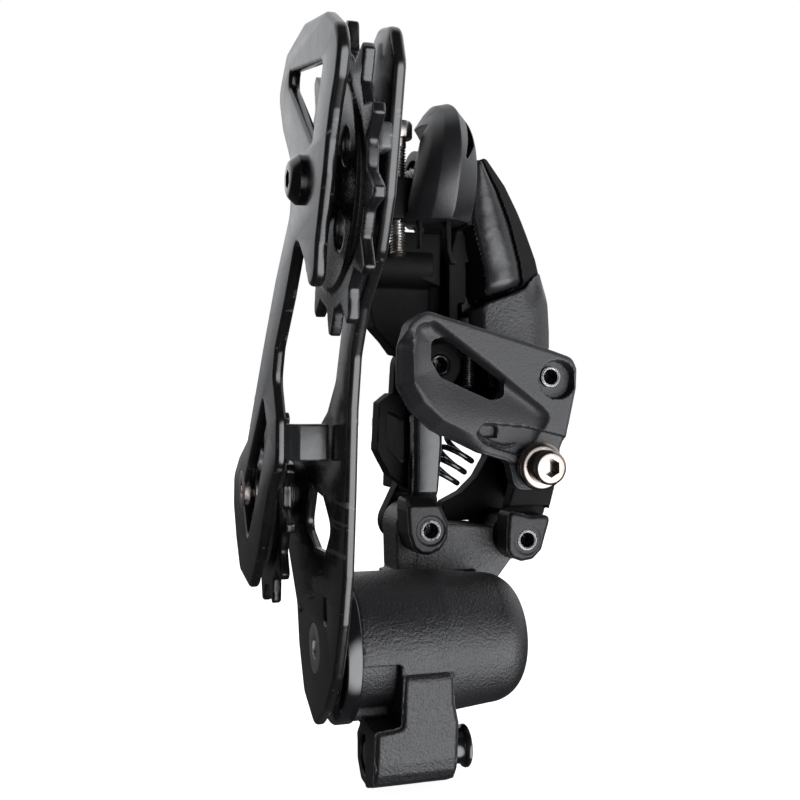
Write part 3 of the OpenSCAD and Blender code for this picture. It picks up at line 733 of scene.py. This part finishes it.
# ---- moulded cover, turned and then narrowed upwards
COVER_AXIS = (0, -12.4, 0)
COVER_LEFT, COVER_RIGHT = -8.4, 7.7
cover = turned("knuckle_cover", COVER_AXIS, X_AXIS, [
    (-8.4, 12.3), (-8.4, 12.9), (-8.2, 13.4), (-6.9, 15.4), (-6.4, 15.9), (-6.1, 16.15), (-3.6, 17.9),
    (-3.2, 18.1),
    (0.9, 18.7), (1.3, 18.75), (1.6, 18.7), (1.9, 18.5), (7.2, 15.5), (7.6, 15.1), (7.7, 14.6),
    (7.7, 12.3)], 160)
boolean(cover, [prism([(-20, 40), (20, 40), (20, -11.5), (-20, -11.5)], -60, -12.4)], "INTERSECT")
boolean(cover, [rod((-20, 0, 0), X_AXIS, 40, 12.2),
                prism([(-13, 16), (-4, 9), (0.6, 1), (0.6, -9.4), (-13, -9.4)], -22.4, -2.4)])
for v in cover.data.vertices:
    x, z = v.co.x / MM, v.co.z / MM
    left = float(np.interp(z, (-11.5, -4, 4, 10.6, 14.6), (COVER_LEFT, -7.6, -5.8, -4, -2.2)))
    v.co.x = (COVER_RIGHT - (COVER_RIGHT - x) * (COVER_RIGHT - left) / (COVER_RIGHT - COVER_LEFT)) * MM
LEAF = rounded([(6.2, 13.0), (7.0, 11.3), (7.2, 8.5), (7.1, 5.9), (4.5, 2.1), (3.9, 2.6), (4.9, 6.2),
                (5.8, 10.5)], 0.5)
boolean(cover, [prism(LEAF, NEAR_Y, -20)])
bevel(cover, 0.18, 2, 30)
done(cover, "knuckle_cover", "cover", 24)

# ---- inner link
inner = node_mesh("inner_link", "inner_link")
boolean(inner, [prism([(-9.5, -58), (3, -58), (3, -95), (-12, -95), (-12, -76)], -33, -22.6)])
soften(inner, 0.3, 5)
# the link's core takes the darker core finish: painted shade
done(inner, "inner_link", "core")
BAR_LEFT, BAR_RIGHT = -7.4, -0.6


def bar_front(xs, zs):
    right = np.interp(zs, (-76.5, -64, -59), (-1.6, BAR_RIGHT, BAR_RIGHT))
    side = np.clip((xs - BAR_LEFT) / (right - BAR_LEFT), 0, 1)
    y = -26.7 + 1.5 * (side - 0.75) ** 2 + 1.1 * (1 - step_down(side, 0.15)) + 0.7 * step_down(side - 0.88,
                                                                                               0.12)
    return y + 1.2 * np.clip((-75.4 - zs) / 1.8, 0, 1)


def lug_front(xs, zs):
    d = inside(LUG, xs, zs)
    slope = np.clip((zs + 78.4) * 1.7, 0, 4.2)
    ring = inside(circle((PIN_C.x, PIN_C.z), 3.6), xs, zs)
    return -30.9 + slope + 0.5 * (1 - step_down(d, 0.8)) + 0.3 * step_down(ring, 0.3)


LUG = rounded([(-10.3, -76.5), (-10.6, -79.4), (-10.3, -84.6), (-9.2, -87.9), (-7.4, -89.4), (-5, -89.6),
               (-2.5, -88.4),
               (-0.8, -85.9), (-0.6, -82.6), (-2.5, -78.5), (-3.4, -75.9)], 1.4)
bar = relief("inner_link_bar", rounded([(BAR_LEFT, -53.4), (BAR_LEFT, -77.4), (-1.8, -77.4), (BAR_RIGHT, -64),
                                        (BAR_RIGHT, -53.4)], 0.3), bar_front, -22.2, 0.26)
extra(bar, "inner_link", "gloss_link", 50)
lug = relief("inner_link_lug", LUG, lug_front, -22.5, 0.26)
boolean(lug, [y_bore(PIN_C, PIN_BORE)])
extra(lug, "inner_link", "link", 50)

# ---- outer link
outer = node_mesh("outer_link", "outer_link")
boolean(outer, [prism([(13.2, -79.4), (26.2, -79.4), (26.2, -94), (13.2, -94)], -33, -24.6)])
soften(outer, 0.3, 5)
# the link's core takes the darker core finish: painted shade
done(outer, "outer_link", "core")
OUTER_LUG = rounded([(14.3, -79.9), (19.8, -81.3), (25.2, -81.2), (23.7, -86), (22.7, -89.4), (20.4, -91.6),
                     (17.5, -92), (14.9, -91), (13.8, -89.2), (13.9, -84.9)], 1.6)


def outer_lug_front(xs, zs):
    d = inside(OUTER_LUG, xs, zs)
    ring = inside(circle((PIN_D.x, PIN_D.z), 3.6), xs, zs)
    return -31 + 0.55 * (1 - step_down(d, 0.8)) + 0.2 * step_down(ring, 0.3)


lug = relief("outer_link_lug", OUTER_LUG, outer_lug_front, -24.4, 0.3)
boolean(lug, [y_bore(PIN_D, PIN_BORE)])
extra(lug, "outer_link", "link", 50)

# ---- pivot housing
housing = node_mesh("p_knuckle", "p_knuckle")
ring_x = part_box("housing_ring")[1].x / MM
pocket = prism([(-62, -108.4), (-44, -108.4), (-44, -121.4), (-62, -121.4)], ring_x - 0.2, -19, "x")
boolean(pocket, [rod((-40, CAGE.y, CAGE.z), X_AXIS, 60, 13.3)])
boolean(housing, [pocket])
soften(housing, 0.34, 4)
boolean(housing, [y_bore(at, HOUSING_BORE) for at in (PIN_C, PIN_D)])
done(housing, "p_knuckle", "casting")
LOCK_LUG = rounded([(-18.8, -107.4), (-7.9, -107.4), (-7.3, -117), (-6.2, -121.6), (-6.2, -133.2),
                    (-7.6, -135.4), (-24.4, -136),
                    (-24.4, -122.2), (-18.8, -121.5)], 0.7)


def lock_lug_front(xs, zs):
    y = np.interp(zs, (-136, -135, -133.6, -131.4, -129, -124, -112.2, -111.4, -108.6, -107.4),
                  (-45.5, -48.4, -50.6, -52.1, -52.7, -53.1, -54.4, -54.2, -52.2, -50.4))
    return y + 0.8 * (1 - step_down(inside(LOCK_LUG, xs, zs), 1.0))


extra(relief("p_knuckle_lug", LOCK_LUG, lock_lug_front, -45, 0.3), "p_knuckle", "casting", 50)

# ---- cage plates
INNER_OUTLINE = rounded([(-96, 8.5), (-80, 12), (-64, 11.5), (-55.5, 5.5), (-60, -2.5), (-67.5, -10),
                         (-67, -19), (-52, -30),
                         (-37, -43.5), (-16.5, -63), (-4, -67.5), (4.6, -72.4), (5.4, -80), (1, -88),
                         (-5, -95), (-20, -97),
                         (-31, -88), (-44, -73), (-53, -67), (-53, -58), (-49, -50), (-52, -44),
                         (-62.5, -35), (-73, -24.5),
                         (-80, -30), (-83.5, -35), (-87.6, -34), (-89, -28), (-92, -22.4), (-94.9, -17.2),
                         (-97, -12.3),
                         (-99.6, -8), (-103, -4), (-105.2, 0.4), (-103, 4.4)], 4)
OUTER_OUTLINE = rounded([(-88, 9.5), (-95.5, 7.5), (-98, 1), (-95.5, -8), (-92, -20), (-87, -29),
                         (-76, -37), (-70, -46),
                         (-67.5, -56), (-66, -72), (-64, -88), (-61, -98), (-55.4, -110), (-48, -118),
                         (-38, -124.3), (-27, -119.6), (-21.4, -110), (-19, -101),
                         (-6, -87), (0, -75), (-8, -66), (-22, -65), (-36, -62), (-50, -56), (-57, -50),
                         (-62, -40),
                         (-67, -30), (-68.5, -20), (-69, -8), (-76, 1), (-82, 7)], 4)
TRIANGLE = rounded([(-67, 7), (-66, 4.6), (-85.6, -10.6), (-94.6, 1)], 1.2)
LONG_SLOT = rounded([(-38, -53.5), (-43, -61), (-31, -73), (-16.5, -86), (-9.6, -76)], 2.0)
OUTER_WINDOW = rounded([(-33, -73), (-46, -74.5), (-53, -80), (-47.5, -85.5), (-37, -86), (-28, -82)], 2.4)
SMALL_SLOT = rounded([(-49.5, -95), (-47, -95), (-47, -100), (-49.5, -100)], 0.8)
inner_plate = plate("inner_plate", [INNER_OUTLINE, TRIANGLE, LONG_SLOT], plate_x, plate_t, 0.8)
outer_plate = plate("outer_plate", [OUTER_OUTLINE, OUTER_WINDOW, SMALL_SLOT], outer_x, plate_t, 0.85)
bolts = ((GUIDE.y, GUIDE.z), (TENSION.y, TENSION.z))
BOLT_R = 2.5
seat = [(-1, 5.3), (0, 5.3), (2.2, 3.0), (4, 3.0)]
boolean(inner_plate, [rod((plate_x - 2, y, z), X_AXIS, 8, BOLT_R) for y, z in bolts]
        + [rod((plate_x - 2, GUIDE.y, GUIDE.z), X_AXIS, 3.5, 4.7)])
boolean(outer_plate, [rod((outer_x - 2, y, z), X_AXIS, 8, BOLT_R) for y, z in bolts]
        + [turned("seat", (outer_x - 0.01, CAGE.y, CAGE.z), X_AXIS, seat)])
done(inner_plate, "inner_plate", "plate", 24)
done(outer_plate, "outer_plate", "plate", 24)
TAB = rounded([(plate_x + 0.6, -48.6), (plate_x + 2.2, -51.4), (plate_x + 4.6, -53.8), (outer_x - 0.4, -54.2),
               (outer_x - 0.4, -52.0), (plate_x + 5.2, -51.6), (plate_x + 3.4, -49.8),
               (plate_x + 2.2, -47.8)], 0.8)
tab = bevel(prism(TAB, -66.2, -58.8, "z"), 0.5, 4)
tab.name = "inner_plate_tab"
extra(tab, "inner_plate", "worn")
stop = centre("stop_pin")
pin = turned("stop_pin", (outer_x - 0.3, stop.y, stop.z), X_AXIS,
             [(0, 0.7), (0.25, 1.1), (0.6, 1.28), (2.2, 1.28), (2.3, 1.0)], 32)
done(pin, "stop_pin", "dull", 40)
KEEPER = [(-95.6, -8.2), (-90.4, -8.2), (-90.4, -12.9), (-95.6, -12.9)]
keeper = bevel(prism(KEEPER, outer_x - 2, outer_x + 0.6, "x"), 0.7, 4)
keeper.name = "outer_plate_keeper"
extra(keeper, "outer_plate", "worn")

# ---- angle screw and hanger bolt, with their threads
lo_s, hi_s = (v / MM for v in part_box("b_screw"))


def fluted(r, depth, count):
    return lambda a: r - depth * (0.5 - 0.5 * math.cos(a * count)) ** 3


FLUTES = 24
head = [(27, 2.0), (28.2, 2.0), (28.3, fluted(3.3, 0.1, FLUTES)), (28.6, fluted(3.5, 0.22, FLUTES)),
        (31.6, fluted(3.5, 0.22, FLUTES)), (32.3, 3.1)]
screw = threaded("b_screw", (ANGLE_SCREW.x, ANGLE_SCREW.y, lo_s.z), Z_AXIS, 0.8, 26.5, 2.0, 0.7, 0.36,
                 [(0, 1.3), (0.4, 1.6)], head)
boolean(screw, [socket((ANGLE_SCREW.x, ANGLE_SCREW.y, hi_s.z - 2.2), Z_AXIS, 3, 4)])
done(screw, "b_screw", "steel", 40)
lo_b, hi_b = (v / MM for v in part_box("hanger_bolt"))
face, length = -lo_b.x, hi_b.x - lo_b.x
shank = [(face, 5.5), (face + 0.4, 5.5), (face + 0.45, 4.8), (face + 1.2, 4.8), (face + 1.25, 5.5)]
head = [(length - 3, 5.5), (length - 2.95, 7.2), (length - 2.6, 7.5), (length - 0.5, 7.5), (length, 7.0)]
bolt = threaded("hanger_bolt", (lo_b.x, 0, 0), X_AXIS, 0.9, face - 0.2, 5.0, 1.0, 0.5,
                [(0, 4.1), (0.5, 4.6)], shank + head)
boolean(bolt, [socket((hi_b.x - 6, 0, 0), X_AXIS, 5, 8)])
done(bolt, "hanger_bolt", "dull", 40)

for node in LIMIT_SCREWS:
    low, high = (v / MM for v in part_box(node))
    at, length = centre(node), high.z - low.z
    head = [(length - 2.5, 1.5), (length - 2.4, 2.4), (length - 2, 2.75), (length - 0.4, 2.75), (length, 2.4)]
    piece = threaded(node, (at.x, at.y, low.z), Z_AXIS, 0.6, length - 4.4, 1.5, 0.6, 0.3,
                     [(0, 0.9), (0.4, 1.2)], head)
    boolean(piece, [socket((at.x, at.y, high.z - 1.6), Z_AXIS, 2, 3)])
    done(piece, node, "dull", 40)

# ---- cable anchor: flange and socket bolt
flange_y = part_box("anchor_washer")[0].y / MM
washer = turned("anchor_washer", (ANCHOR.x, flange_y, ANCHOR.z), Y_AXIS,
                [(0, 4.6), (0.25, 5.2), (0.7, 5.6), (1.3, 5.7), (2.1, 5.6), (2.6, 5.2)], 64)
boolean(washer, [rod((ANCHOR.x, NEAR_Y - 10, ANCHOR.z), Y_AXIS, 40, WASHER_BORE)])
done(washer, "anchor_washer", "chrome", 30)
head_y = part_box("anchor_bolt")[0].y / MM
tip_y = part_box("anchor_bolt")[1].y / MM
bolt = turned("anchor_bolt", (ANCHOR.x, head_y, ANCHOR.z), Y_AXIS,
              [(0, 3.2), (0.15, 3.6), (0.6, 4.0), (4.2, 4.0), (4.55, 3.9), (4.6, 2.5),
               (tip_y - head_y - 0.5, 2.5),
               (tip_y - head_y, 2.1)], 64)
boolean(bolt, [socket((ANCHOR.x, head_y - 1, ANCHOR.z), Y_AXIS, 4, 3.6)])
done(bolt, "anchor_bolt", "chrome", 30)

# ---- link pins with machined rims
for node in ("pin_inner_upper", "pin_inner_lower", "pin_outer_upper", "pin_outer_lower"):
    at = centre(node)
    lo_p, hi_p = (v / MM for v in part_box(node))
    length = hi_p.y - lo_p.y
    pin = turned(node, (at.x, lo_p.y, at.z), Y_AXIS,
                 [(6, 0.9), (6, 1.65), (0.45, 1.65), (0.1, 1.85), (0, 2.1), (0.1, 2.4), (0.35, 2.5),
                  (length - 0.35, 2.5),
                  (length - 0.1, 2.4), (length, 2.1), (length - 0.1, 1.85), (length - 0.45, 1.65),
                  (length - 6, 1.65),
                  (length - 6, 0.9)], 48, close=False)
    # pin_inner_upper takes the darker gloss finish, without the light rims of the other pins: painted shade
    done(pin, node, "gloss" if node == "pin_inner_upper" else "pin", 30)

# ---- lock button, tension bolt and two springs
button_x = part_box("lock_button")[0].x / MM
button = turned("lock_button", (button_x, LOCK.y, LOCK.z), X_AXIS,
                [(0, 2.6), (0.4, 2.95), (14.2, 2.95), (14.4, 4.0), (14.6, 4.12), (18.2, 4.12), (18.5, 3.95),
                 (19.0, 3.7),
                 (20.6, 3.65), (21.2, 3.9), (21.6, 4.45), (21.9, 4.6), (22.4, 4.6), (22.6, 4.4),
                 (22.6, 3.6), (22.3, 3.3)], 64)
done(button, "lock_button", "gloss", 30)
lo_t, hi_t = (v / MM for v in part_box("tension_bolt"))
bolt = turned("tension_bolt", (lo_t.x, TENSION.y, TENSION.z), X_AXIS,
              [(0, 2.7), (0.15, 3.1), (0.5, 3.5), (1.3, 4.2), (1.6, 4.4), (2.7, 4.4), (2.85, 4.2),
               (2.86, 2.5),
               (hi_t.x - lo_t.x - 0.3, 2.5), (hi_t.x - lo_t.x, 2.2)], 64)
boolean(bolt, [socket((lo_t.x - 1, TENSION.y, TENSION.z), X_AXIS, 3, 3.1)])
done(bolt, "tension_bolt", "gloss", 30)
SPRING_TOP, SPRING_END = Vector((10.4, -15, -62.3)), Vector((2, -15, -74))
coil = sweep("return_spring", helix(SPRING_TOP, SPRING_END, 4.2, 4.4), 0.7, 12)
done(coil, "return_spring", "gloss", 60)
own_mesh(coil)
SEAT_X, SPOOL_X = -14.6, -8
coil = sweep("button_spring", helix((SEAT_X, LOCK.y, LOCK.z), (SPOOL_X, LOCK.y, LOCK.z), 3.55, 5), 0.3, 10)
done(coil, "button_spring", "dull", 60)
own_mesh(coil)

# ---- nodes in their CAD shape, with worked edges; pulleys
PLAIN = {"housing_ring": ("gloss", 0.4), "b_washer": ("casting", 0.25), "cable_port": ("cover", 0.2),
         "bolt_circlip": ("dull", 0.08),
         "clutch_drum": ("dull", 0.2), "clutch_band": ("gloss", 0.2), "cage_axle": ("dull", 0.2),
         "axle_screw": ("screw", 0.12),
         "guide_bushing": ("steel", 0.1), "guide_shields": ("steel", 0.1), "guide_bolt": ("flush", 0.15),
         "tension_bushing": ("steel", 0.1), "tension_shields": ("steel", 0.1)}
for node, (material, width) in PLAIN.items():
    piece = node_mesh(node, node)
    bevel(piece, width)
    done(piece, node, material)
for node in ("guide_pulley", "tension_pulley"):
    piece = node_mesh(node, node)
    soften(piece, 0.36, 6)
    done(piece, node, "pulley", 50)
NODES["cage_spring"].data.materials.clear()
NODES["cage_spring"].data.materials.append(MATERIALS["dull"])


# ---- stage, light and camera
world = bpy.data.worlds.new("room")
bpy.context.scene.world = world
world.use_nodes = True
wt = world.node_tree
wt.nodes.clear()
w_out = wt.nodes.new("ShaderNodeOutputWorld")
w_mix = wt.nodes.new("ShaderNodeMixShader")
w_path = wt.nodes.new("ShaderNodeLightPath")
w_room = wt.nodes.new("ShaderNodeBackground")
w_seen = wt.nodes.new("ShaderNodeBackground")
w_seen.inputs[0].default_value = (1, 1, 1, 1)
w_seen.inputs[1].default_value = 1.0
w_way = wt.nodes.new("ShaderNodeTexCoord").outputs["Generated"]


def glow(direction, dark_at, bright_at, strength):
    """Light that comes from round one direction, fading between two angles off it."""
    dot = wt.nodes.new("ShaderNodeVectorMath")
    dot.operation = "DOT_PRODUCT"
    wt.links.new(w_way, dot.inputs[0])
    dot.inputs[1].default_value = Vector(direction).normalized()
    fade = wt.nodes.new("ShaderNodeMapRange")
    fade.interpolation_type = "SMOOTHSTEP"
    fade.inputs["From Min"].default_value = math.cos(math.radians(dark_at))
    fade.inputs["From Max"].default_value = math.cos(math.radians(bright_at))
    fade.inputs["To Max"].default_value = strength
    wt.links.new(dot.outputs["Value"], fade.inputs["Value"])
    return fade.outputs[0]


room = math_of(wt, "ADD", glow((0, 0, 1), 96, 90, 0.26), glow((0, 0, 1), 90, 76, 0.62))
room = math_of(wt, "ADD", room, 0.02)
room = math_of(wt, "MULTIPLY", room, glow((0, 1, 0.25), 85, 60, 1.0))
room = math_of(wt, "ADD", room, 0.035)
room = math_of(wt, "ADD", room, glow((0.40, -0.82, -0.32), 44, 18, 5.6))
room = math_of(wt, "ADD", room, glow((0.95, -0.05, 0.40), 42, 16, 0.9))
wt.links.new(room, w_room.inputs[1])
w_room.inputs[0].default_value = (0.96, 0.97, 1.0, 1)
wt.links.new(w_path.outputs["Is Camera Ray"], w_mix.inputs[0])
wt.links.new(w_room.outputs[0], w_mix.inputs[1])
wt.links.new(w_seen.outputs[0], w_mix.inputs[2])
wt.links.new(w_mix.outputs[0], w_out.inputs[0])
bpy.context.scene.view_settings.view_transform = "Standard"

floor_z = cad_box[0].z
bm = bmesh.new()
half = 3.0
corners = [(-half, -half), (half, -half), (half, half), (-half, half)]
bm.faces.new([bm.verts.new((x, y, floor_z - 0.0002)) for x, y in corners])
floor = new_object("floor", to_mesh(bm, "floor"))
mat, tree, bsdf = shader("floor_white", (0.80, 0.80, 0.80), 0.9)
shine = tree.nodes.new("ShaderNodeEmission")
shine.inputs[0].default_value = (1, 1, 1, 1)
shine.inputs[1].default_value = 0.9
both = tree.nodes.new("ShaderNodeAddShader")
link(tree, bsdf.outputs[0], both.inputs[0])
link(tree, shine.outputs[0], both.inputs[1])
link(tree, both.outputs[0], [n for n in tree.nodes if n.type == "OUTPUT_MATERIAL"][0].inputs[0])
floor.data.materials.append(mat)
floor.visible_glossy = False
floor.visible_diffuse = False
floor.visible_shadow = False

cam = bpy.data.cameras.new("camera")
cam.lens = 48.5
cam.sensor_width = 36
cam.clip_start = 0.01
camera = bpy.data.objects.new("camera", cam)
bpy.context.scene.collection.objects.link(camera)
camera.location = (-0.084, -0.265, -0.054)
camera.rotation_euler = (math.radians(90), 0, math.radians(-17))
bpy.context.scene.camera = camera
